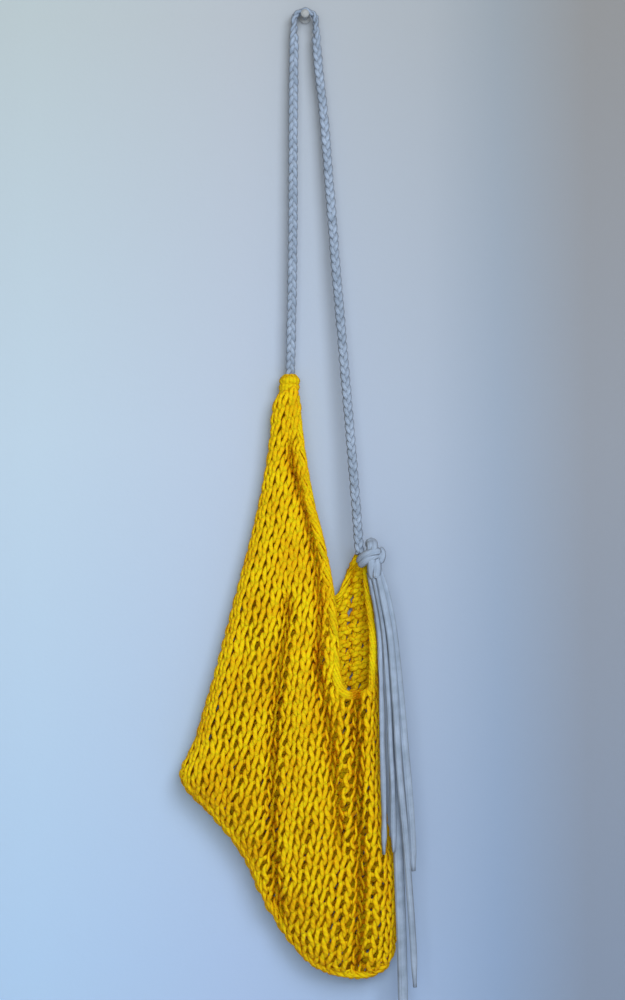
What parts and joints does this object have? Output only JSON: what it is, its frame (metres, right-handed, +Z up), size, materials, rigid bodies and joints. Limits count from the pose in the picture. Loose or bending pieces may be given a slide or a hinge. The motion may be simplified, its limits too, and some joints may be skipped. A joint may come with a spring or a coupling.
{
  "type": "knitted string bag with a plaited strap hanging on a wall peg",
  "caption": "Hand-knitted openwork string bag with a narrow neck and a wide mouth, hung from a small wall peg by a long plaited jersey strap that ends in a knot with loose strips.",
  "frame": {"origin": "middle of the peg's flat back face, where it meets the wall", "axes": "+Z up, +X to the right as the bag is looked at, -Y out of the wall towards the room"},
  "size_m": [0.2497, 0.0521, 1.069],
  "materials": {
    "yellow_yarn": "matte cotton yarn, knitted",
    "grey_jersey": "matte jersey strips with rolled edges",
    "pale_peg": "satin, painted like the wall"
  },
  "bodies": {
    "root": {"knit_body": "yellow_yarn", "plaited_strap": "grey_jersey", "strap_knot": "grey_jersey", "wall_peg": "pale_peg"}
  },
  "joints": []
}
